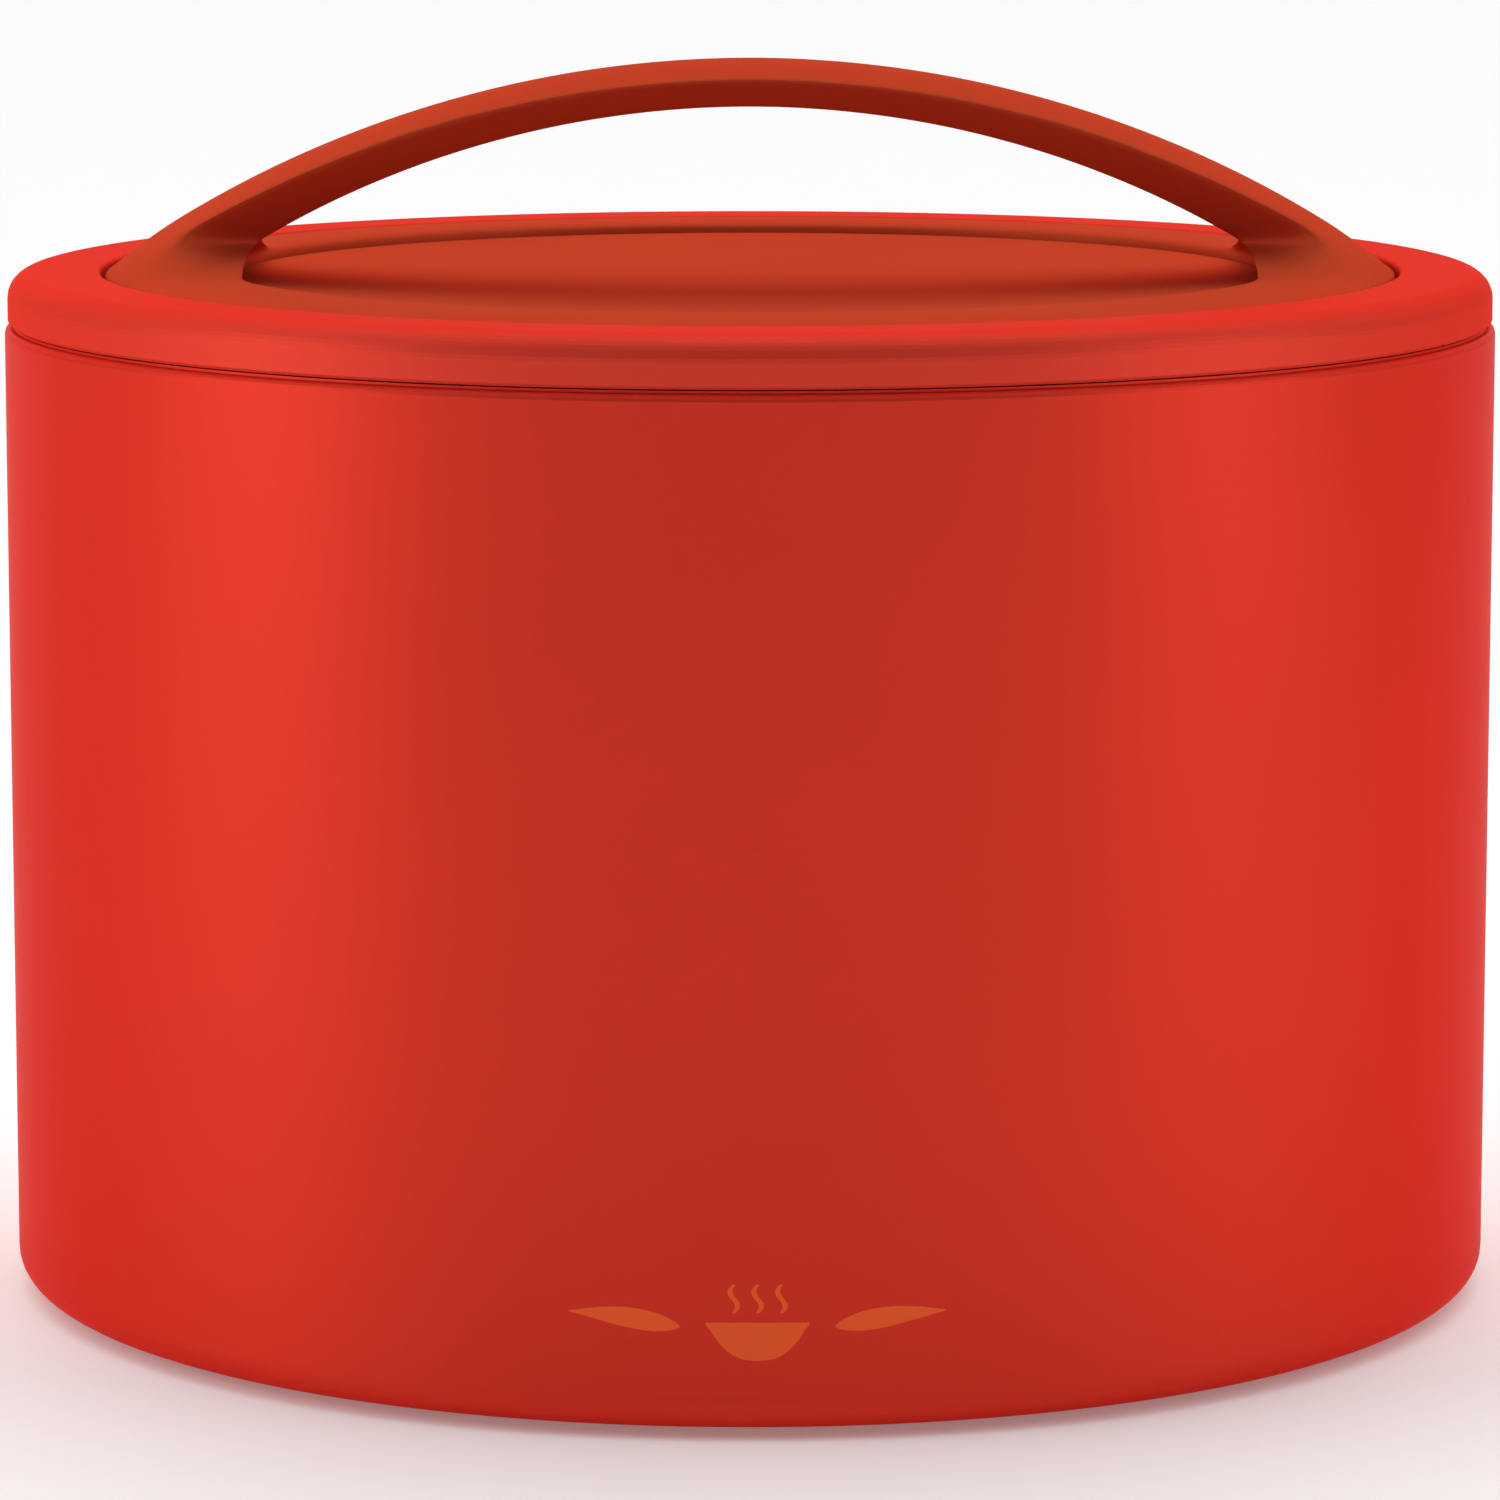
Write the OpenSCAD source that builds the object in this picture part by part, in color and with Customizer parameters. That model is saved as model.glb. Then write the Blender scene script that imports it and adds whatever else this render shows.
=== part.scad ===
// Round insulated lunch pot: foam-filled body, twist-lock lid with an arched carry handle,
// and a lidded food bowl with a lift-out divider inside.
// Millimetres, Z up. The origin is on the table, under the middle of the body.

/* [Body] */
// Outer diameter of the body
body_d = 150; // [146:1:154]
// Height of the body's top edge above the table
body_h = 97.6; // [96:0.2:104]
// Wall of the outer shell
wall = 2.2; // [1.8:0.1:2.4]
// Radius along the shell's bottom edge
bottom_round = 3; // [2:0.5:4]
// Foam between the shell and the vessel
foam = 6.8; // [6.4:0.1:7.2]
// Height that the foot ring stands proud of the shell
foot_proud = 0.8; // [0.6:0.1:0.9]

/* [Vessel] */
// Wall of the vessel
vessel_wall = 2; // [1.6:0.1:2.4]
// Wall of the vessel's neck, which holds the twist-lock channels
neck_wall = 4.6; // [4.4:0.1:4.8]
// Depth of the vessel's rim below the body's top edge
rim_drop = 3; // [2.8:0.1:3.2]
// Height of the vessel's floor above the table
vessel_floor = 13; // [12.6:0.1:13.4]

/* [Lid] */
// Height of the lid above the seam
lid_h = 5; // [4.8:0.1:5.6]
// Gap between the body and the lid
seam = 0.4; // [0.3:0.1:0.5]
// Radius along the lid's top edge
lid_round = 2.6; // [2:0.2:2.6]
// Depth of the lid's plug below the vessel's rim
plug_depth = 10; // [9.8:0.1:10.2]
// Number of twist-lock lugs
lugs = 4; // [3:1:4]
// Arc that one lug spans
lug_arc = 14; // [10:1:16]
// Turn that locks the lid
lock_turn = 42; // [36:1:44]

/* [Handle] */
// Height of the handle's crest above the lid's top face
arch_rise = 21; // [19:0.5:22]
// Radius of the arch's upper side
arch_top_r = 110.5; // [110:0.5:112]
// Radius of the arch's under side
arch_under_r = 98; // [97:0.5:99]
// Thickness of the arch at its crest
arch_t = 4.8; // [4.4:0.1:5.4]
// Width of the arch over its crest
grip_w = 20; // [16:1:24]
// Width of each foot where it meets the ring's outer edge
foot_w = 42; // [36:1:46]
// Inner radius of the handle's ring
dish_r = 52.9; // [52:0.1:53.2]

/* [Bowl] */
// Height of the food bowl without its lid
bowl_h = 61.7; // [58:0.1:61.9]
// Wall of the food bowl
bowl_wall = 1.8; // [1.6:0.1:2]
// Distance of the divider from the bowl's middle
divider_y = 12; // [6:1:16]

/* [Hidden] */
$fn = 96;

// Colours
red = "#d2352a";
terracotta = "#c0432a";
white = "#e9e7e2";
natural = "#dcdcd6";
silicone = "#c9563a";
foam_yellow = "#e8d9a8";
rubber = "#4a4340";
steel = "#b9bcc0";

// Body
body_r = body_d / 2;
shell_in_r = body_r - wall;
cap_seat_r = body_r - 5;         // edge of the recess that takes the base cap
cap_seat_z = 2.4;                // roof of that recess
lip_r = cap_seat_r - 4;          // inner edge of the shell's bottom lip
lip_top = 4.2;
cap_t = 1.8;
cap_z = foot_proud + 0.2;
foot_r = [body_r - 18, body_r - 12];
foot_top = 2.2;
plug_r = 4.9;
plug_head_r = 8;

// Vessel
vessel_r = shell_in_r - foam;
vessel_in_r = vessel_r - vessel_wall;
neck_r = vessel_in_r + neck_wall;
rim_z = body_h - rim_drop;
flange_t = 2.4;
flange_z = rim_z - flange_t;     // underside of the vessel's flange, which rests on the shell's ledge
neck_z = rim_z - 14;
vessel_round = 8;
channel_h = 4;
channel_z = rim_z - 8.2;
channel_r = vessel_in_r + 1.9;
slot_gap = 2;                    // free angle on each side of a lug in its entry slot
slot_extra = 0.2;                // an entry slot is this much deeper than its channel
first_lug = 60;                  // direction of the first lug, from +X

// Lid
lid_r = body_r - 0.3;
lid_z = body_h + seam;
lid_top = lid_z + lid_h;
lid_wall = 2;
recess_r = body_r - 9.6;
recess_z = lid_top - 3.6;        // floor of the recess that takes the handle's ring and the dish
cover_under = recess_z - 1.6;
weld_rib = [body_r - 6, body_r - 4];
plug_out_r = vessel_in_r - 0.6;
plug_z = rim_z - plug_depth;
lid_flange_z = rim_z + 0.6;
lid_flange_t = 1.8;
gasket_r = [vessel_in_r + 1.1, vessel_in_r + 5.3];
lug_r = channel_r - 0.4;
lug_h = 3;
lug_z = channel_z + 0.5;

// Handle
ring_r = recess_r - 0.3;
ring_top = lid_top + 0.3;
arch_crest = lid_top + arch_rise;
arch_reach = ring_r - 0.8;       // the arch ends just inside the ring's edge
foot_x = sqrt(arch_reach * arch_reach - foot_w * foot_w / 4);  // where a foot's front edge meets that circle
flare_x = 25;                    // the arch keeps its grip width up to here
toe_x = 60;                      // from here out, the toes dip into the ring
toe_dip = 1.5;
crown = [1.6, 2.9];              // fall from the middle of the top face to its edges: at the crest, at a foot
screw_x = body_r - 17.7;
screw_y = 9;
screw_r = 1.45;
screw_top = ring_top + 1.4;

// Bowl
bowl_z = vessel_floor + 0.3;
bowl_top = bowl_z + bowl_h;
bowl_r = vessel_in_r - 3;        // outer radius under the rim
bowl_foot_r = bowl_r - 3.5;      // outer radius just above the bottom corner
bowl_round = 9;
bowl_rim_r = bowl_r + 1;
divider_t = 1.8;
divider_gap = 0.5;
lid_skirt_r = vessel_in_r - 0.7;
bowl_lid_z = bowl_top + 1.2;     // underside of the bowl lid's panel
panel_t = 1.6;
vent_y = -30;
vent_r = 2.5;
vent_travel = 2.6;

// Points on an arc, from angle a to angle b
function arc(x, z, r, a, b, n = 6) =
    [for (i = [0:n]) let(t = a + (b - a) * i / n) [x + r * cos(t), z + r * sin(t)]];

module revolve(points) {
    rotate_extrude() polygon(points);
}

// A ring's section swept from angle a to angle b
module ring_sector(r_in, r_out, z0, z1, a, b) {
    rotate([0, 0, a])
        rotate_extrude(angle = b - a)
            polygon([[r_in, z0], [r_out, z0], [r_out, z1], [r_in, z1]]);
}

module at_lugs() {
    for (i = [0:lugs - 1]) rotate([0, 0, first_lug + 360 / lugs * i]) children();
}

module at_screws() {
    for (x = [-screw_x, screw_x], y = [-screw_y, screw_y]) translate([x, y, 0]) children();
}

// ---- Body ----

module outer_shell() {
    ledge = 1.6;
    guide_top = lid_z - 0.15;    // a low rib round the mouth, which closes the seam's depth
    color(red)
        revolve(concat(
            [[cap_seat_r, foot_proud]],
            arc(body_r - bottom_round, foot_proud + bottom_round, bottom_round, -90, 0, 10),
            arc(body_r - 0.7, body_h - 0.7, 0.7, 0, 90, 4),
            [[body_r - 0.8, body_h], [body_r - 0.8, guide_top],
             [shell_in_r + 0.3, guide_top], [shell_in_r, guide_top - 0.3],
             [shell_in_r, flange_z], [shell_in_r - ledge, flange_z],
             [shell_in_r - ledge, flange_z - 1], [shell_in_r, flange_z - 1 - ledge]],
            arc(shell_in_r - 1.5, lip_top + 1.5, 1.5, 0, -90, 4),
            [[lip_r, lip_top], [lip_r, cap_seat_z], [cap_seat_r, cap_seat_z]]
        ));
}

module base_cap() {
    edge_r = cap_seat_r - 0.3;
    rib_in_r = foot_r[0] - 3;
    color(red)
        revolve([
            [plug_r + 0.1, cap_z + 1], [plug_head_r + 0.2, cap_z + 1], [plug_head_r + 0.2, cap_z],
            [foot_r[0] - 0.1, cap_z], [foot_r[0] - 0.1, foot_top],
            [foot_r[1] + 0.1, foot_top], [foot_r[1] + 0.1, cap_z],
            [edge_r - 0.3, cap_z], [edge_r, cap_z + 0.3], [edge_r, cap_seat_z - 0.1],
            [lip_r - 0.2, cap_seat_z - 0.1], [lip_r - 0.2, lip_top - 0.2],
            [rib_in_r, lip_top - 0.2], [rib_in_r - 1.2, cap_z + cap_t], [plug_r + 0.1, cap_z + cap_t]
        ]);
}

// Push-in plug that closes the foam's filling hole
module fill_plug() {
    color(red)
        revolve([
            [0, cap_z + 0.1], [plug_head_r - 0.4, cap_z + 0.1], [plug_head_r, cap_z + 0.5],
            [plug_head_r, cap_z + 0.9], [plug_r, cap_z + 0.9], [plug_r, cap_z + cap_t + 0.1],
            [plug_r + 0.6, cap_z + cap_t + 0.2], [plug_r - 0.4, cap_z + cap_t + 0.9],
            [0, cap_z + cap_t + 0.9]
        ]);
}

module foot_ring() {
    edge = 0.6;
    color(rubber)
        revolve(concat(
            arc(foot_r[0] + edge, edge, edge, 180, 270, 4),
            arc(foot_r[1] - edge, edge, edge, -90, 0, 4),
            [[foot_r[1], foot_top], [foot_r[0], foot_top]]
        ));
}

module insulation_foam() {
    gap = 0.2;
    out_r = shell_in_r - gap;
    ledge_r = out_r - 1.6;
    color(foam_yellow)
        revolve(concat(
            [[0, lip_top + gap]],
            arc(shell_in_r - 1.5, lip_top + 1.5 + gap, 1.5 - gap, -90, 0, 4),
            [[out_r, flange_z - 2.8], [ledge_r, flange_z - 1.2], [ledge_r, flange_z - gap],
             [neck_r + gap, flange_z - gap], [neck_r + gap, neck_z], [vessel_r + gap, neck_z - 2.6]],
            arc(vessel_r - vessel_round, vessel_floor - vessel_wall + vessel_round,
                vessel_round + gap, 0, -90, 8),
            [[0, vessel_floor - vessel_wall - gap]]
        ));
}

module vessel_liner() {
    under = vessel_floor - vessel_wall;
    slot_half = lug_arc / 2 + slot_gap;
    color(white)
        difference() {
            revolve(concat(
                [[0, under]],
                arc(vessel_r - vessel_round, under + vessel_round, vessel_round, -90, 0, 8),
                [[vessel_r, neck_z - 2.4], [neck_r, neck_z + 0.2], [neck_r, flange_z],
                 [shell_in_r - 0.1, flange_z], [shell_in_r - 0.1, rim_z - 0.3],
                 [shell_in_r - 0.4, rim_z]],
                arc(vessel_in_r + 0.8, rim_z - 0.8, 0.8, 90, 180, 4),
                arc(vessel_r - vessel_round, under + vessel_round, vessel_round - vessel_wall,
                    0, -90, 8),
                [[0, vessel_floor]]
            ));
            at_lugs() {
                ring_sector(vessel_in_r - 3, channel_r + slot_extra, channel_z - slot_extra, rim_z + 1,
                            -slot_half, slot_half);
                ring_sector(vessel_in_r - 3, channel_r, channel_z, channel_z + channel_h,
                            -slot_half - lock_turn, slot_half - 1);
            }
        }
}

// ---- Bowl ----

// Half section of the space inside the bowl, taken in by a gap
function bowl_inside(gap) = concat(
    [[0, bowl_z + bowl_wall + gap]],
    arc(bowl_foot_r - bowl_round, bowl_z + bowl_round, bowl_round - bowl_wall - gap, -90, 0, 6),
    [[bowl_r - bowl_wall - gap, bowl_top + 1], [0, bowl_top + 1]]
);

module divider_plate(y, t, top) {
    translate([-body_r, y - t / 2, bowl_z]) cube([body_d, t, top - bowl_z]);
}

module food_bowl() {
    rib_t = 1.4;
    rib_off = divider_t / 2 + 0.3 + rib_t / 2;
    rib_top = bowl_top - 4;
    color(natural)
        union() {
            difference() {
                revolve(concat(
                    [[0, bowl_z + 0.5], [bowl_foot_r - bowl_round - 3, bowl_z + 0.5],
                     [bowl_foot_r - bowl_round - 2.5, bowl_z]],
                    arc(bowl_foot_r - bowl_round, bowl_z + bowl_round, bowl_round, -90, 0, 6),
                    [[bowl_r, bowl_top - 2], [bowl_rim_r, bowl_top - 1.6]],
                    arc(bowl_rim_r - 0.6, bowl_top - 0.6, 0.6, 0, 90, 3),
                    [[0, bowl_top]]
                ));
                revolve(bowl_inside(0));
            }
            // Two ribs at each end of the divider hold it upright
            for (side = [-1, 1])
                intersection() {
                    divider_plate(divider_y + side * rib_off, rib_t, rib_top);
                    difference() {
                        revolve(bowl_inside(-0.4));
                        revolve(bowl_inside(3));
                    }
                }
        }
}

module bowl_divider() {
    top = bowl_top - 3.5;
    tab_w = 24;
    tab_h = 2.5;
    color(natural)
        union() {
            intersection() {
                divider_plate(divider_y, divider_t, top);
                revolve(bowl_inside(divider_gap));
            }
            translate([0, divider_y + divider_t / 2, top])
                rotate([90, 0, 0])
                    linear_extrude(divider_t)
                        polygon([[-tab_w / 2, -0.5], [tab_w / 2, -0.5], [tab_w / 2 - tab_h, tab_h],
                                 [tab_h - tab_w / 2, tab_h]]);
        }
}

// Upright bar in the middle of the bowl lid, to lift lid and bowl by
module lid_grip() {
    w = 34;
    h = 5.6;
    t = 3;
    corner = 3;
    translate([0, t / 2, bowl_lid_z + panel_t])
        rotate([90, 0, 0])
            linear_extrude(t)
                polygon(concat(
                    [[-w / 2, -0.5], [w / 2, -0.5]],
                    arc(w / 2 - corner, h - corner, corner, 0, 90),
                    arc(corner - w / 2, h - corner, corner, 90, 180)
                ));
}

module bowl_lid() {
    top = bowl_top + 5;
    roof = top - 1.6;
    skirt_in_r = lid_skirt_r - 1;
    seal_r = [bowl_r - 4.6, bowl_r - 3.1];
    color(natural)
        difference() {
            union() {
                revolve(concat(
                    [[0, bowl_lid_z], [seal_r[0], bowl_lid_z], [seal_r[0], bowl_top - 1.5],
                     [seal_r[1], bowl_top - 1.5], [seal_r[1], roof], [skirt_in_r, roof],
                     [skirt_in_r, bowl_top - 3.2], [lid_skirt_r, bowl_top - 3.2]],
                    arc(lid_skirt_r - 1, top - 1, 1, 0, 90, 4),
                    [[seal_r[0] + 0.4, top], [seal_r[0] - 2.4, bowl_lid_z + panel_t],
                     [0, bowl_lid_z + panel_t]]
                ));
                lid_grip();
            }
            translate([0, vent_y, bowl_lid_z - 1]) cylinder(h = panel_t + 2, r = vent_r + 0.3);
        }
}

module bowl_lid_gasket() {
    r_in = bowl_r - 2.9;
    r_out = lid_skirt_r - 1.2;
    z = bowl_top + 0.3;
    color(silicone)
        revolve([[r_in, z + 0.6], [r_in + 0.8, z], [r_out - 0.8, z], [r_out, z + 0.6],
                 [r_out, z + 3], [r_in, z + 3]]);
}

// Steam vent: a push-through plug that pulls up to let steam out
module vent_plug() {
    head_z = bowl_lid_z + panel_t + 0.1;
    under = bowl_lid_z - vent_travel;
    color(silicone)
        translate([0, vent_y, 0])
            union() {
                revolve(concat(
                    [[0, under - 1.4], [vent_r - 0.7, under - 1.4], [vent_r + 0.8, under - 0.4],
                     [vent_r + 0.8, under], [vent_r, under], [vent_r, head_z], [7, head_z]],
                    arc(6.2, head_z + 1, 0.8, 0, 90, 4),
                    [[0, head_z + 2.2]]
                ));
                translate([-4, -0.8, head_z + 1.4]) cube([8, 1.6, 2.1]);
            }
}

// ---- Lid ----

module lid_gasket() {
    z = rim_z + 0.3;
    color(silicone)
        revolve([[gasket_r[0] + 0.6, z], [gasket_r[1] - 0.6, z], [gasket_r[1], z + 0.4],
                 [gasket_r[1], lid_flange_z + 0.9], [gasket_r[0], lid_flange_z + 0.9],
                 [gasket_r[0], z + 0.4]]);
}

module lid_liner() {
    plug_wall = 1.8;
    edge = 2;
    in_r = plug_out_r - plug_wall;
    groove_z = lid_flange_z + 1;
    flange_r = shell_in_r - 0.5;
    top = lid_flange_z + lid_flange_t;
    color(white)
        union() {
            revolve(concat(
                [[0, plug_z]],
                arc(plug_out_r - edge, plug_z + edge, edge, -90, 0, 4),
                [[plug_out_r, lid_flange_z], [gasket_r[0] - 0.1, lid_flange_z],
                 [gasket_r[0] - 0.1, groove_z], [gasket_r[1] + 0.1, groove_z],
                 [gasket_r[1] + 0.1, lid_flange_z], [flange_r - 0.3, lid_flange_z],
                 [flange_r, lid_flange_z + 0.3], [flange_r, top], [in_r, top],
                 [in_r, plug_z + edge + 0.3], [in_r - 0.5, plug_z + plug_wall],
                 [0, plug_z + plug_wall]]
            ));
            at_lugs()
                rotate([0, 0, -lug_arc / 2])
                    rotate_extrude(angle = lug_arc)
                        polygon([[plug_out_r - 0.5, lug_z], [lug_r - 0.6, lug_z], [lug_r, lug_z + 0.6],
                                 [lug_r, lug_z + lug_h], [plug_out_r - 0.5, lug_z + lug_h]]);
        }
}

module lid_foam() {
    r = plug_out_r - 2.1;
    color(foam_yellow)
        revolve([[0, plug_z + 2.1], [r - 0.5, plug_z + 2.1], [r, plug_z + 2.6],
                 [r, cover_under - 2.5], [0, cover_under - 2.5]]);
}

module lid_cover() {
    roof = lid_top - lid_wall;
    skirt_in_r = lid_r - 2.1;
    color(red)
        difference() {
            revolve(concat(
                [[0, cover_under], [recess_r + 1.6, cover_under], [recess_r + 1.6, roof],
                 [weld_rib[0], roof], [weld_rib[0], lid_flange_z + lid_flange_t],
                 [weld_rib[1], lid_flange_z + lid_flange_t], [weld_rib[1], roof],
                 [skirt_in_r, roof], [skirt_in_r, lid_z], [lid_r - 0.3, lid_z], [lid_r, lid_z + 0.3]],
                arc(lid_r - lid_round, lid_top - lid_round, lid_round, 0, 90, 10),
                arc(recess_r + 0.4, lid_top - 0.4, 0.4, 90, 180, 3),
                [[recess_r, recess_z], [0, recess_z]]
            ));
            at_screws() translate([0, 0, cover_under - 1]) cylinder(h = 4, r = screw_r + 0.3);
        }
}

// Distance of x along the flare: 0 at the grip, 1 where a foot leaves the ring
function flare(x) = max(0, (abs(x) - flare_x) / (foot_x - flare_x));
// Half width of the arch's top face at x, cut off by the circle of its reach
function arch_half(x) =
    min(grip_w / 2 + (foot_w - grip_w) / 2 * pow(flare(x), 2), sqrt(max(6, arch_reach * arch_reach - x * x)));
function arch_over(x) =
    let(toe = max(0, (abs(x) - toe_x) / (arch_reach - toe_x)))
    arch_crest - arch_top_r + sqrt(arch_top_r * arch_top_r - x * x) - toe_dip * toe * toe;
function arch_under(x) =
    max(ring_top - 2.4, arch_crest - arch_t - arch_under_r + sqrt(arch_under_r * arch_under_r - x * x));

// One upright section of the arch: a crowned top face, rounded edges, and sides that slope in below
function arch_section(x) =
    let(w = arch_half(x),
        over = arch_over(x),
        under = min(arch_under(x), over - 1),
        fall = min(crown[0] + (crown[1] - crown[0]) * flare(x), over - under - 0.4),
        edge = over - fall,
        half = [[0, over], [0.25 * w, over - 0.03 * fall], [0.5 * w, over - 0.15 * fall],
                [0.72 * w, over - 0.42 * fall], [0.88 * w, over - 0.75 * fall], [0.96 * w, edge],
                [w, edge - 0.13 * (edge - under)], [0.98 * w, edge - 0.3 * (edge - under)],
                [0.78 * w, under + 0.2 * (edge - under)], [0.68 * w, under + 0.06 * (edge - under)],
                [0.5 * w, under], [0, under]],
        n = len(half))
    concat(
        [for (p = half) [x, p[0], p[1]]],
        [for (i = [n - 2:-1:1]) [x, -half[i][0], half[i][1]]]
    );

module arch() {
    stations = 52;
    sections = [for (i = [0:stations]) arch_section(arch_reach * sin(-90 + 180 * i / stations))];
    n = len(sections[0]);
    sides = [for (i = [0:stations - 1], j = [0:n - 1])
        [i * n + j, i * n + (j + 1) % n, (i + 1) * n + (j + 1) % n, (i + 1) * n + j]];
    near_end = [[for (j = [0:n - 1]) n - 1 - j]];
    far_end = [[for (j = [0:n - 1]) stations * n + j]];
    polyhedron([for (s = sections) each s], concat(sides, near_end, far_end));
}

module handle_ring() {
    color(terracotta)
        difference() {
            union() {
                revolve(concat(
                    [[dish_r + 1.8, recess_z], [ring_r, recess_z]],
                    arc(ring_r - 0.5, ring_top - 0.9, 0.5, 0, 90, 3),
                    [[dish_r + 5, ring_top]],
                    arc(dish_r + 0.6, ring_top - 0.6, 0.6, 90, 180, 3),
                    [[dish_r, recess_z + 1.5], [dish_r + 1.8, recess_z + 1.5]]
                ));
                arch();
            }
            at_screws()
                translate([0, 0, recess_z - 1]) cylinder(h = screw_top - recess_z + 1.4, r = screw_r + 0.05);
        }
}

module dish_disc() {
    r = dish_r - 0.3;
    sag = 1.6;
    centre_z = recess_z + 1.2;
    function dished(x) = centre_z + sag * pow(x / r, 2);
    color(terracotta)
        revolve(concat(
            [for (i = [0:8]) let(x = (r - 1.8) * i / 8) [x, dished(x) - 1.2]],
            [[r - 1.8, recess_z], [r + 1.8, recess_z], [r + 1.8, recess_z + 1.3],
             [r, recess_z + 1.3], [r, dished(r) - 0.4]],
            [for (i = [8:-1:0]) let(x = (r - 0.4) * i / 8) [x, dished(x)]]
        ));
}

// Pan-head screws that hold the handle's feet from inside the lid
module handle_screws() {
    head_r = 2.7;
    head_t = 2;
    color(steel)
        at_screws()
            difference() {
                revolve(concat(
                    [[0, cover_under - 0.1 - head_t]],
                    arc(head_r - 1, cover_under - 0.1 - head_t + 1, 1, -90, 0, 4),
                    [[head_r, cover_under - 0.1], [screw_r, cover_under - 0.1],
                     [screw_r, screw_top - 0.8], [0.4, screw_top], [0, screw_top]]
                ));
                for (a = [0, 90])
                    rotate([0, 0, a])
                        translate([-1.5, -0.3, cover_under - 1 - head_t]) cube([3, 0.6, 1.9]);
            }
}

outer_shell();
base_cap();
fill_plug();
foot_ring();
insulation_foam();
vessel_liner();
food_bowl();
bowl_divider();
bowl_lid();
bowl_lid_gasket();
vent_plug();
lid_gasket();
lid_liner();
lid_foam();
lid_cover();
handle_ring();
dish_disc();
handle_screws();
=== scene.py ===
import math

import bmesh
import bpy
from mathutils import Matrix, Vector


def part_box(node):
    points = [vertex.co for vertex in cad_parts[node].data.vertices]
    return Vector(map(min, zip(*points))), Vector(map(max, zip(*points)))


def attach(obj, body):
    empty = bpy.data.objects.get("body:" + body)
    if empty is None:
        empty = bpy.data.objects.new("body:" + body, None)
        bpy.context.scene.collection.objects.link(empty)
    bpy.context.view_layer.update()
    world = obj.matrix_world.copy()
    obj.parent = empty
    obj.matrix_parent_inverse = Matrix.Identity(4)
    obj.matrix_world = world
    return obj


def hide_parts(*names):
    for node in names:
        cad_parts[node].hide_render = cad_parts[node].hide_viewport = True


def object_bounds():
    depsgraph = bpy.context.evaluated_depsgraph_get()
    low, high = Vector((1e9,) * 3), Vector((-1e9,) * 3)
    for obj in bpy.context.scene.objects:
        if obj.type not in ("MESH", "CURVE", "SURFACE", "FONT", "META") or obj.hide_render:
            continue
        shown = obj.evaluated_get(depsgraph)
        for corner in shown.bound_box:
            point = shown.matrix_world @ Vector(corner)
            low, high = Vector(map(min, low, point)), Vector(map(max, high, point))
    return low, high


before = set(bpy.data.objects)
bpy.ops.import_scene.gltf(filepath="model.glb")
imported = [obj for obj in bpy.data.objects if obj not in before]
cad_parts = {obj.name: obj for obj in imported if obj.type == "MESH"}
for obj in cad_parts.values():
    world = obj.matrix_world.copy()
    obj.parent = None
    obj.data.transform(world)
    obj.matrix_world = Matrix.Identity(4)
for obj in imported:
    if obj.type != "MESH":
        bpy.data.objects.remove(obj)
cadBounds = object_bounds()
print("frame loaded:", len(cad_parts), "parts")

mm = 0.001
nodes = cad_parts
shellLow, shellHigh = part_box("outer_shell")
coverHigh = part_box("lid_cover")[1]
ringLow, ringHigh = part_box("handle_ring")
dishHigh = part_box("dish_disc")[1]


def deselectAll():
    if bpy.context.object and bpy.context.object.mode != "OBJECT":
        bpy.ops.object.mode_set(mode="OBJECT")
    bpy.ops.object.select_all(action="DESELECT")


def pick(*pieces):
    deselectAll()
    for piece in pieces:
        piece.select_set(True)
    bpy.context.view_layer.objects.active = pieces[0]


# draws an outline by extruding one vertex, then spins it round the pot's axis
def lathe(name, outline, steps, angle, startTurn):
    deselectAll()
    r, z = outline[0]
    c, s = math.cos(startTurn), math.sin(startTurn)
    bpy.ops.mesh.primitive_plane_add(size=mm, location=(r * c, r * s, z))
    piece = bpy.context.object
    piece.name = name
    bpy.ops.object.transform_apply(location=True, rotation=True, scale=True)
    bpy.ops.object.mode_set(mode="EDIT")
    bpy.ops.mesh.select_all(action="SELECT")
    bpy.ops.mesh.merge(type="CENTER")
    for (r0, z0), (r1, z1) in zip(outline, outline[1:]):
        step = ((r1 - r0) * c, (r1 - r0) * s, z1 - z0)
        bpy.ops.mesh.extrude_region_move(TRANSFORM_OT_translate={"value": step})
    bpy.ops.mesh.select_all(action="SELECT")
    bpy.ops.mesh.spin(steps=steps, angle=angle, center=(0, 0, 0), axis=(0, 0, 1))
    bpy.ops.mesh.select_all(action="SELECT")
    bpy.ops.mesh.remove_doubles(threshold=0.002 * mm)
    bpy.ops.mesh.normals_make_consistent(inside=False)
    bpy.ops.object.mode_set(mode="OBJECT")
    return piece


def joinShapes(shapes, name):
    pick(*shapes)
    bpy.ops.object.join()
    piece = bpy.context.object
    piece.name = name
    return piece


def applyModifiers(piece):
    pick(piece)
    for modifier in list(piece.modifiers):
        bpy.ops.object.modifier_apply(modifier=modifier.name)


def shadeByAngle(piece, degrees):
    pick(piece)
    bpy.ops.object.shade_smooth_by_angle(angle=math.radians(degrees))


def setMaterial(piece, material):
    piece.data.materials.clear()
    piece.data.materials.append(material)


def linear(hexColour):
    values = [int(hexColour[i:i + 2], 16) / 255 for i in (0, 2, 4)]
    return [v / 12.92 if v <= 0.04045 else ((v + 0.055) / 1.055) ** 2.4 for v in values] + [1.0]


def newMaterial(name):
    material = bpy.data.materials.new(name)
    material.use_nodes = True
    tree = material.node_tree
    return material, tree, tree.nodes["Principled BSDF"]


def addNode(tree, kind, **settings):
    node = tree.nodes.new(kind)
    for key, value in settings.items():
        if key in node.inputs:
            node.inputs[key].default_value = value
        else:
            setattr(node, key, value)
    return node


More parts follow.
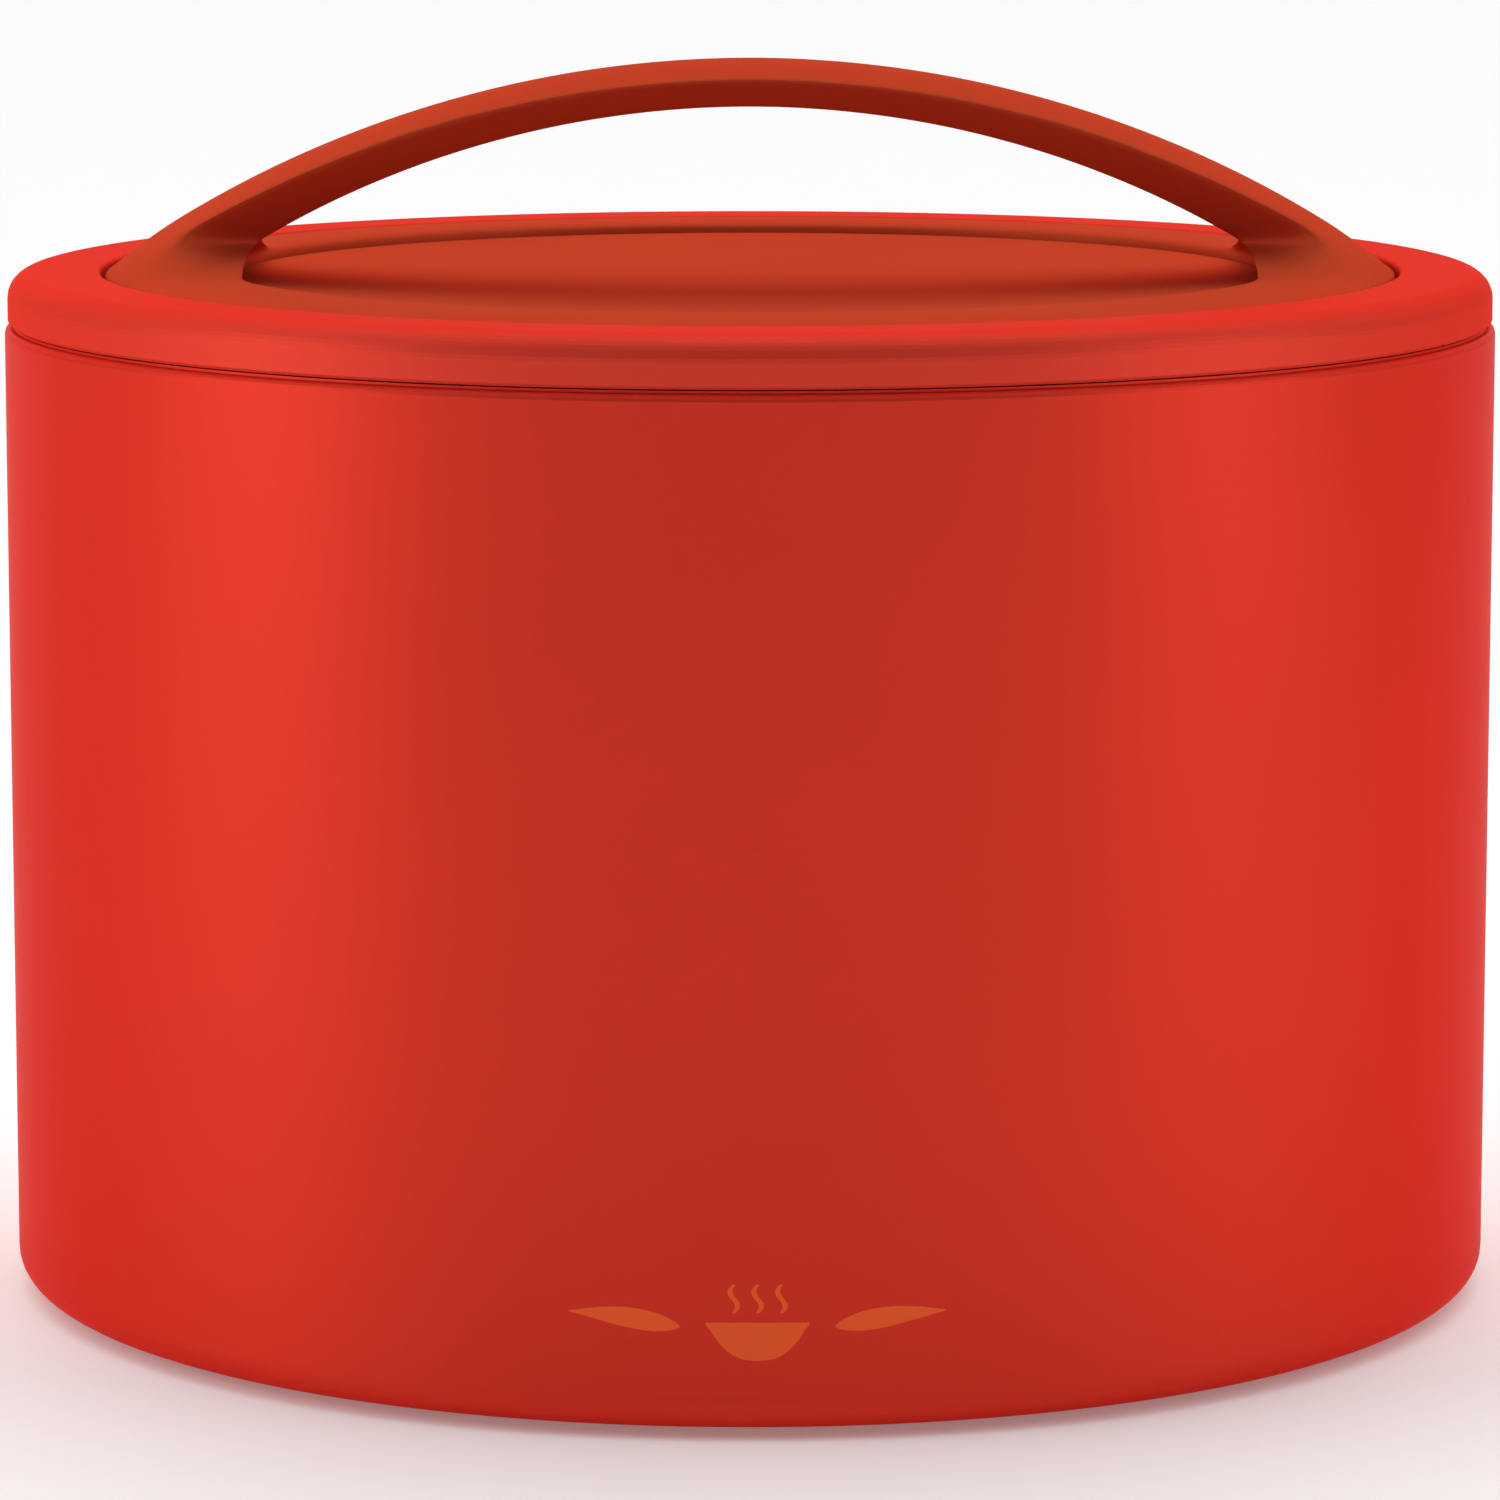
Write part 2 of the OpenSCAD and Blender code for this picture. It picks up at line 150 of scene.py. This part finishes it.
# what a finish has unless its own entry says otherwise
plainFinish = {
    "drift": 0.04,              # of the colour, either way
    "driftScale": 14,
    "driftEnds": (0.3, 0.7),    # the part of the noise that the two tones are spread over
    "grainScale": 2600,
    "glossSwing": 0.04,         # of the roughness, either way
    "bump": 0.25,
    "bumpDepth": 0.04 * mm,
    "metallic": 0.0,
    "specular": 0.4,
    "edge": "ffffff",
    "subsurface": 0.0,
    "subsurfaceReach": 2 * mm,
}


# moulded plastic: a mould's fine spark texture, slight drift in colour and gloss
def mouldedPlastic(name, ownSpec):
    spec = {**plainFinish, **ownSpec}
    material, tree, shader = newMaterial(name)
    link = tree.links.new
    place = addNode(tree, "ShaderNodeTexCoord")
    drift = addNode(tree, "ShaderNodeTexNoise", Scale=spec["driftScale"], Detail=3.0)
    grain = addNode(tree, "ShaderNodeTexNoise", Scale=spec["grainScale"], Detail=2.0)
    link(place.outputs["Object"], drift.inputs["Vector"])
    link(place.outputs["Object"], grain.inputs["Vector"])
    tones = addNode(tree, "ShaderNodeValToRGB")
    base = linear(spec["colour"])
    for element, end, side in zip(tones.color_ramp.elements, spec["driftEnds"], (-1, 1)):
        element.position = end
        element.color = [c * (1 + side * spec["drift"]) for c in base[:3]] + [1]
    link(drift.outputs["Fac"], tones.inputs["Fac"])
    link(tones.outputs["Color"], shader.inputs["Base Color"])
    gloss = addNode(tree, "ShaderNodeMapRange")
    gloss.inputs["To Min"].default_value = spec["roughness"] - spec["glossSwing"]
    gloss.inputs["To Max"].default_value = spec["roughness"] + spec["glossSwing"]
    link(grain.outputs["Fac"], gloss.inputs["Value"])
    link(gloss.outputs["Result"], shader.inputs["Roughness"])
    bump = addNode(tree, "ShaderNodeBump", Strength=spec["bump"], Distance=spec["bumpDepth"])
    link(grain.outputs["Fac"], bump.inputs["Height"])
    link(bump.outputs["Normal"], shader.inputs["Normal"])
    shader.inputs["Metallic"].default_value = spec["metallic"]
    shader.inputs["Specular IOR Level"].default_value = spec["specular"]
    shader.inputs["Specular Tint"].default_value = linear(spec["edge"])
    shader.inputs["Subsurface Weight"].default_value = spec["subsurface"]
    shader.inputs["Subsurface Scale"].default_value = spec["subsurfaceReach"]
    return material


finishes = {
    "bodyRed": {"colour": "dc3b2c", "roughness": 0.42, "metallic": 0.5, "specular": 0.02, "edge": "ff4a3a"},
    "lidRed": {"colour": "e24435", "roughness": 0.45, "metallic": 0.38, "specular": 0.0, "edge": "ff4030"},
    "terracotta": {"colour": "c64c2f", "roughness": 0.5, "metallic": 0.25, "specular": 0.0, "edge": "ff5a38"},
    "linerWhite": {"colour": "ebe8e1", "roughness": 0.35, "grainScale": 1800, "bump": 0.1},
    "bowlNatural": {"colour": "dedfda", "roughness": 0.38, "subsurface": 0.2},
    "silicone": {"colour": "c9563a", "roughness": 0.6},
    "footRubber": {"colour": "3b3432", "roughness": 0.75},
    "foamYellow": {"colour": "e8d9a8", "roughness": 0.9},
    "printInk": {"colour": "ff6634", "roughness": 0.5, "specular": 0.3, "edge": "ff8a60", "bump": 0.05},
    "screwSteel": {"colour": "b9bcc0", "roughness": 0.3, "metallic": 1.0},
}
materials = {name: mouldedPlastic(name, spec) for name, spec in finishes.items()}

wears = {
    "outer_shell": "bodyRed", "base_cap": "bodyRed", "fill_plug": "bodyRed", "foot_ring": "footRubber",
    "insulation_foam": "foamYellow", "vessel_liner": "linerWhite", "food_bowl": "bowlNatural",
    "bowl_divider": "bowlNatural", "bowl_lid": "bowlNatural", "bowl_lid_gasket": "silicone",
    "vent_plug": "silicone", "lid_gasket": "silicone", "lid_liner": "linerWhite", "lid_foam": "foamYellow",
    "lid_cover": "lidRed", "handle_ring": "terracotta", "dish_disc": "terracotta",
    "handle_screws": "screwSteel",
}
for node, name in wears.items():
    setMaterial(nodes[node], materials[name])
print("materials set")


# the handle and its ring: half of it is built at +X, then mirrored
handleSpec = {
    "overRadius": 111 * mm,       # arch's upper side
    "underRadius": 98 * mm,       # arch's under side
    "thick": 4.8 * mm,            # at the crest
    "gripHalf": 10 * mm,          # half width over the crest
    "footHalf": 14 * mm,          # half width where the arch has left the ring
    "underHalf": 6.9 * mm,        # half width of the under side
    "fall": (1.6 * mm, 1.1 * mm),    # crown of the top face: crest, foot
    "crownPower": 2.2,
    "underLift": 0.3 * mm,        # of the under side's middle
    "reach": 53 * mm,             # from the crest to where the under side meets the ring
    "topReach": 11.4 * mm,        # the top face ends this much farther out
    "topBow": 3.5 * mm,           # the top face's corners at the foot are drawn back by this
    "underBow": 0.4 * mm,         # and the under side's by this
    "flareStart": 0.42,           # share of the way to the foot where the arch begins to widen
    "flarePower": 4,
    "waist": 0.12,                # share by which the foot's middle is drawn in
    "swing": (-8.8, 29, -15.5),   # degrees, by the share of the way across the ring
    "swingReach": math.pi / 4,    # no radial line farther round than this is swung
    "segments": 48,               # steps round half the ring
    "footSteps": 4,               # of those, on each side of the arch's middle
    "rows": (0.955, 0.91, 0.86, 0.8, 0.73, 0.64, 0.54, 0.43, 0.32, 0.21, 0.1, 0.0),
    "across": (-1, -0.86, -0.64, -0.34, 0, 0.34, 0.64, 0.86, 1),
    "down": (0, 0.26, 0.72, 1),
    "underCrease": 0.9,
}
ringOuter = ringHigh.x
ringInner = dishHigh.x - 1.5 * mm
ringBottom = ringLow.z
ringTop = coverHigh.z + 0.3 * mm
ringEdge = ringTop - 0.35 * mm       # height of the top face's outer edge
patchOuter = ringOuter - 0.7 * mm    # the foot stands between these two radii
patchInner = ringInner + 0.7 * mm


def ringOutline():
    return [
        (patchOuter, ringEdge), (ringOuter - 3.6 * mm, ringTop - 0.1 * mm), (ringOuter - 8.6 * mm, ringTop),
        (patchInner, ringTop), (ringInner + 0.1 * mm, ringTop - 0.5 * mm), (ringInner, ringTop - 1.2 * mm),
        (ringInner, ringBottom + 1.6 * mm), (ringInner + 0.1 * mm, ringBottom + 1.5 * mm),
        (ringInner + 1.8 * mm, ringBottom + 1.5 * mm), (ringInner + 1.8 * mm, ringBottom),
        (ringOuter - 0.1 * mm, ringBottom), (ringOuter, ringBottom + 0.1 * mm),
        (ringOuter, ringEdge - 0.8 * mm), (ringOuter - 0.15 * mm, ringEdge - 0.25 * mm),
        (patchOuter, ringEdge),
    ]


# height of an arc over the distance x from its crest
def arcHeight(crest, radius, x):
    return crest - radius + math.sqrt(radius ** 2 - x * x)


# place of the arch's vertex: q runs from 1 at the foot to 0 at the crest, u across the width,
# v from the top face (0) down the side to the under side (1)
def archPoint(spec, q, u, v):
    flare = max(0.0, (q - spec["flareStart"]) / (1 - spec["flareStart"])) ** spec["flarePower"]
    xTop = spec["reach"] * q + spec["topReach"] * q ** 3 - spec["topBow"] * q ** 4 * u * u
    xUnder = spec["reach"] * q - spec["underBow"] * q ** 4 * u * u
    half = spec["gripHalf"] + (spec["footHalf"] - spec["gripHalf"]) * flare
    inward = 1 - spec["waist"] * flare * (1 - u * u) ** 0.5
    crestFall, footFall = spec["fall"]
    fall = (crestFall + (footFall - crestFall) * flare) * abs(u) ** spec["crownPower"]
    lift = spec["underLift"] * (1 - u * u * q ** 3)
    over = arcHeight(ringHigh.z, spec["overRadius"], xTop) - fall
    under = arcHeight(ringHigh.z - spec["thick"], spec["underRadius"], xUnder) + lift
    return Vector((xTop, half * u * inward, over)).lerp(Vector((xUnder, spec["underHalf"] * u, under)), v)


def spot(vertex):
    return tuple(round(c, 7) for c in vertex.co)


# the faces that the foot stands on: on top, between the patch's two radii, near +X
def findPatch(piece, footTurn):
    patch = set()
    for face in piece.data.polygons:
        radius = math.hypot(face.center.x, face.center.y)
        onTop = face.center.z > ringEdge and patchInner < radius < patchOuter
        if onTop and abs(math.atan2(face.center.y, face.center.x)) < footTurn:
            patch.add(face.index)
    return patch


# swing the radial lines so that a foot is wide at the outer edge and narrow at the dish
def swingLines(piece, spec):
    start, rise, bend = spec["swing"]
    reach = spec["swingReach"]
    for vertex in piece.data.vertices:
        radius = math.hypot(vertex.co.x, vertex.co.y)
        angle = math.atan2(vertex.co.y, vertex.co.x)
        t = (radius - ringInner) / (ringOuter - ringInner)
        swing = math.radians(start + rise * t + bend * t * t)
        swing *= math.sin(math.pi * abs(angle) / reach) if abs(angle) < reach else 0
        angle += math.copysign(swing, angle)
        vertex.co.x, vertex.co.y = radius * math.cos(angle), radius * math.sin(angle)


# extrudes the patch row by row up to the crest; each vertex keeps its place across (u) and
# down (v) the section
def raiseArch(piece, spec, patch):
    pick(piece)
    bpy.ops.object.mode_set(mode="EDIT")
    bpy.ops.mesh.select_mode(type="FACE")
    bpy.ops.mesh.select_all(action="DESELECT")
    cage = bmesh.from_edit_mesh(piece.data)
    corner = cage.verts.layers.float.new("crease_vert")
    for face in cage.faces:
        face.select = face.index in patch
    bmesh.update_edit_mesh(piece.data)

    across, down = spec["across"], spec["down"]
    footVerts = [v for v in cage.verts if v.select]
    byRadius = sorted(footVerts, key=lambda v: -math.hypot(v.co.x, v.co.y))
    place = {}
    underEdge = set()
    for row, v in enumerate(down):
        start = row * len(across)
        line = sorted(byRadius[start:start + len(across)], key=lambda vertex: vertex.co.y)
        for u, vertex in zip(across, line):
            place[spot(vertex)] = (u, v)
            if v == 1 and abs(u) == 1:
                vertex[corner] = 1.0
                underEdge.add(spot(vertex))
    for q in spec["rows"]:
        bpy.ops.mesh.extrude_region_move(TRANSFORM_OT_translate={"value": (0, 0, 0)})
        cage = bmesh.from_edit_mesh(piece.data)
        moved = {}
        for vertex in [v for v in cage.verts if v.select]:
            u, v = place[spot(vertex)]
            vertex[corner] = 0.0
            vertex.co = archPoint(spec, q, u, v)
            moved[spot(vertex)] = (u, v)
            if v == 1 and abs(u) == 1:
                underEdge.add(spot(vertex))
        place = moved
        bmesh.update_edit_mesh(piece.data)
    bpy.ops.mesh.delete(type="FACE")

    cage = bmesh.from_edit_mesh(piece.data)
    firm = cage.edges.layers.float.new("crease_edge")
    for edge in cage.edges:
        a, b = edge.verts
        if spot(a) in underEdge and spot(b) in underEdge and (a.co.y > 0) == (b.co.y > 0):
            edge[firm] = spec["underCrease"]
    bmesh.update_edit_mesh(piece.data)
    bpy.ops.object.mode_set(mode="OBJECT")


def buildHandle(spec):
    piece = lathe("handleRing", ringOutline(), spec["segments"], -math.pi, -math.pi / 2)
    patch = findPatch(piece, spec["footSteps"] * math.pi / spec["segments"])
    swingLines(piece, spec)
    raiseArch(piece, spec, patch)
    mirror = piece.modifiers.new("mirror", "MIRROR")
    mirror.use_axis[0] = True
    mirror.merge_threshold = 0.02 * mm
    smooth = piece.modifiers.new("smooth", "SUBSURF")
    smooth.levels = smooth.render_levels = 2
    applyModifiers(piece)
    shadeByAngle(piece, 40)
    setMaterial(piece, materials["terracotta"])
    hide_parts("handle_ring")
    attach(piece, "lid")
    return piece


handleRing = buildHandle(handleSpec)
print("handle built:", len(handleRing.data.polygons), "faces")


# plain print low on the front: a bowl with steam between two leaves
printSpec = {
    "radius": shellHigh.x + 0.006 * mm,
    "depth": 0.3 * mm,
    "front": shellLow.y - 0.004 * mm,    # the drum's flat facet lies just behind this
    "centre": (0.7 * mm, 11.5 * mm),
    "bowl": (9.6 * mm, 3.6 * mm),
    "steam": (0.55 * mm, 2.7 * mm),
    "steamStarts": (-2.2 * mm, 0, 2.2 * mm),
    "leaf": (10.5 * mm, 1.9 * mm),
    "leafStart": 7.2 * mm,
}


# one printed shape: a strip of cells bent round the pot's axis, with its back sunk in the wall
def printShape(name, spec, columns, rows, outline):
    deselectAll()
    bpy.ops.mesh.primitive_grid_add(x_subdivisions=columns, y_subdivisions=rows, size=2)
    shape = bpy.context.object
    shape.name = name
    for vertex in shape.data.vertices:
        x, z = outline((vertex.co.x + 1) / 2, (vertex.co.y + 1) / 2)
        a = (x + spec["centre"][0]) / spec["radius"]
        y = max(-spec["radius"] * math.cos(a), spec["front"])
        vertex.co = (spec["radius"] * math.sin(a), y, z + spec["centre"][1])
    bpy.ops.object.mode_set(mode="EDIT")
    bpy.ops.mesh.select_all(action="SELECT")
    bpy.ops.mesh.extrude_region_move(TRANSFORM_OT_translate={"value": (0, spec["depth"], 0)})
    bpy.ops.mesh.select_all(action="SELECT")
    bpy.ops.mesh.remove_doubles(threshold=0.001 * mm)
    bpy.ops.mesh.normals_make_consistent(inside=False)
    bpy.ops.object.mode_set(mode="OBJECT")
    return shape


# in every outline below, s runs from left to right and t from bottom to top, both 0 to 1
def buildPrint(spec):
    bowlWidth, bowlDepth = spec["bowl"]
    steamWidth, steamHeight = spec["steam"]
    leafLength, leafHeight = spec["leaf"]

    def bowl(s, t):
        x = (s - 0.5) * bowlWidth
        low = -bowlDepth * max(0.06, 1 - abs(2 * s - 1) ** 2.6)
        return x, low * (1 - t) - 0.1 * mm

    def steamAt(start):
        def steam(s, t):
            sway = 0.35 * mm * math.sin(t * 2 * math.pi)
            width = steamWidth * (0.35 + 0.65 * math.sin(math.pi * (0.12 + 0.76 * t)))
            return start + sway + (s - 0.5) * width, 0.8 * mm + t * steamHeight
        return steam

    def leafOn(side):
        def leaf(s, t):
            high = leafHeight * (0.04 + math.sin(math.pi * s ** 0.7)) / 2
            x = spec["leafStart"] + s * leafLength
            lift = -0.5 * mm + 1.1 * mm * math.sin(math.pi * s / 2)
            return side * x, lift + (2 * t - 1) * high * side
        return leaf

    shapes = [printShape("printBowl", spec, 28, 2, bowl)]
    for i, start in enumerate(spec["steamStarts"]):
        shapes.append(printShape("printSteam%d" % i, spec, 2, 14, steamAt(start)))
    for side in (-1, 1):
        shapes.append(printShape("printLeaf%d" % side, spec, 26, 2, leafOn(side)))
    piece = joinShapes(shapes, "frontPrint")
    shadeByAngle(piece, 40)
    setMaterial(piece, materials["printInk"])
    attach(piece, "base")
    return piece


frontPrint = buildPrint(printSpec)
print("print built:", len(frontPrint.data.polygons), "faces")


# measure lines moulded on the bowl's inner wall
measureSpec = {
    "proud": 0.25 * mm,
    "depth": -0.6 * mm,
    "thick": 0.7 * mm,
    "heights": (32 * mm, 44 * mm, 56 * mm),
    "widths": (15 * mm, 9 * mm, 15 * mm),
    "wall": 1.8 * mm,     # of the bowl
    "rim": 1 * mm,        # by which the rim stands out from the wall
    "taper": 3.5 * mm,    # by which the wall narrows down to the foot
}


def buildMeasureLines(spec):
    bowlLow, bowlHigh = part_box("food_bowl")
    lines = []
    for i, (height, width) in enumerate(zip(spec["heights"], spec["widths"])):
        up = (height - bowlLow.z) / (bowlHigh.z - bowlLow.z)
        radius = bowlHigh.x - spec["rim"] - spec["taper"] * (1 - up) - spec["wall"] - spec["proud"]
        place = {"radius": radius, "depth": spec["depth"], "front": -radius, "centre": (0, height)}

        def line(s, t, width=width):
            high = spec["thick"] * (1 - abs(2 * s - 1) ** 12)
            return (s - 0.5) * width, (t - 0.5) * high

        lines.append(printShape("measureLine%d" % i, place, 16, 2, line))
    piece = joinShapes(lines, "measureLines")
    shadeByAngle(piece, 40)
    setMaterial(piece, materials["bowlNatural"])
    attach(piece, "bowl")
    return piece


# marks on the vessel's rim: a triangle where each lug goes in, a round dot where it ends up
lockSpec = {
    "radius": 70.7 * mm,
    "proud": 0.16 * mm,
    "thick": 1 * mm,
    "turns": (60, 150, 240, 330),    # the slots where the lid's lugs go in
    "marks": ((3, 0, 1.5 * mm), (20, -42, 0.825 * mm)),    # sides, turn from the slot, radius
    "edge": 0.06 * mm,
}


def buildLockMarks(spec):
    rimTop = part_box("vessel_liner")[1].z
    marks = []
    for degrees in spec["turns"]:
        for sides, extra, size in spec["marks"]:
            a = math.radians(degrees + extra)
            x, y = spec["radius"] * math.cos(a), spec["radius"] * math.sin(a)
            deselectAll()
            bpy.ops.mesh.primitive_cylinder_add(
                vertices=sides, radius=size, depth=spec["thick"], rotation=(0, 0, a - math.pi / 2),
                location=(x, y, rimTop + spec["proud"] - spec["thick"] / 2))
            mark = bpy.context.object
            bpy.ops.object.transform_apply(location=True, rotation=True, scale=True)
            edge = mark.modifiers.new("edge", "BEVEL")
            edge.width = spec["edge"]
            edge.segments = 2
            edge.limit_method = "ANGLE"
            applyModifiers(mark)
            marks.append(mark)
    piece = joinShapes(marks, "lockMarks")
    shadeByAngle(piece, 35)
    setMaterial(piece, materials["linerWhite"])
    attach(piece, "base")
    return piece


measureLines = buildMeasureLines(measureSpec)
lockMarks = buildLockMarks(lockSpec)
print("marks built:", len(measureLines.data.polygons) + len(lockMarks.data.polygons), "faces")


studio = {
    "floorSize": 30,
    "floorTone": 0.96,
    "floorGlow": 0.16,
    "frontGlow": 0.02,
    "backGlow": 0.14,
    "glowFrom": -0.9,                   # how far to the front the back's glow reaches
    "topGlow": 1.42,
    "topDirection": (0, 0.55, 0.8),     # up and to the back
    "topFrom": 0.1,                     # how far from that direction its glow reaches
    "lightTarget": (0, 0, 0.06),
}
lights = {
    "sideLeft": {"place": (-0.9, -0.25, 0.3), "size": (0.55, 0.7), "power": 2.65},
    "sideRight": {"place": (0.9, -0.3, 0.3), "size": (0.5, 0.7), "power": 1.9},
}


def addFloor():
    deselectAll()
    bpy.ops.mesh.primitive_plane_add(size=studio["floorSize"], location=(0, 0, cadBounds[0].z))
    floor = bpy.context.object
    floor.name = "floor"
    material, tree, shader = newMaterial("floorPaper")
    shader.inputs["Base Color"].default_value = [studio["floorTone"]] * 3 + [1]
    shader.inputs["Roughness"].default_value = 0.9
    shader.inputs["Specular IOR Level"].default_value = 0.1
    shader.inputs["Emission Color"].default_value = (1, 1, 1, 1)
    shader.inputs["Emission Strength"].default_value = studio["floorGlow"]
    setMaterial(floor, material)


def addLight(name, spec):
    light = bpy.data.lights.new(name, "AREA")
    light.shape = "RECTANGLE"
    light.size, light.size_y = spec["size"]
    light.energy = spec["power"]
    lamp = bpy.data.objects.new(name, light)
    bpy.context.scene.collection.objects.link(lamp)
    lamp.location = spec["place"]
    aim = Vector(studio["lightTarget"]) - Vector(spec["place"])
    lamp.rotation_euler = aim.to_track_quat("-Z", "Y").to_euler()


def smoothRange(tree, source, fromMin, toMin, toMax):
    node = addNode(tree, "ShaderNodeMapRange", interpolation_type="SMOOTHSTEP")
    node.inputs["From Min"].default_value = fromMin
    node.inputs["From Max"].default_value = 1.0
    node.inputs["To Min"].default_value = toMin
    node.inputs["To Max"].default_value = toMax
    tree.links.new(source, node.inputs["Value"])
    return node.outputs["Result"]


# the room: dim behind the camera, brighter behind the pot, brightest overhead
def addWorld():
    world = bpy.data.worlds.new("studio")
    bpy.context.scene.world = world
    world.use_nodes = True
    tree = world.node_tree
    link = tree.links.new
    place = addNode(tree, "ShaderNodeTexCoord")
    split = addNode(tree, "ShaderNodeSeparateXYZ")
    link(place.outputs["Generated"], split.inputs["Vector"])
    depth = smoothRange(tree, split.outputs["Y"], studio["glowFrom"], studio["frontGlow"], studio["backGlow"])
    tilt = addNode(tree, "ShaderNodeVectorMath", operation="DOT_PRODUCT")
    tilt.inputs[1].default_value = studio["topDirection"]
    link(place.outputs["Generated"], tilt.inputs[0])
    height = smoothRange(tree, tilt.outputs["Value"], studio["topFrom"], 0.0, studio["topGlow"])
    total = addNode(tree, "ShaderNodeMath", operation="ADD")
    link(depth, total.inputs[0])
    link(height, total.inputs[1])
    link(total.outputs["Value"], tree.nodes["Background"].inputs["Strength"])
    tree.nodes["Background"].inputs["Color"].default_value = (1, 1, 1, 1)


def addCamera(spec):
    camera = bpy.data.cameras.new("camera")
    camera.lens = spec["lens"]
    camera.sensor_width = 36
    camera.clip_end = 50
    eye = bpy.data.objects.new("camera", camera)
    bpy.context.scene.collection.objects.link(eye)
    eye.location = (0, -spec["distance"], cadBounds[0].z + spec["height"])
    eye.rotation_euler = (math.radians(90 - spec["pitch"]), 0, 0)
    bpy.context.scene.camera = eye


addFloor()
addWorld()
for name, spec in lights.items():
    addLight(name, spec)
addCamera({"distance": 0.7128, "height": 0.1632, "pitch": 8.75, "lens": 169.5})
bpy.context.scene.view_settings.view_transform = "Standard"
print("studio ready")
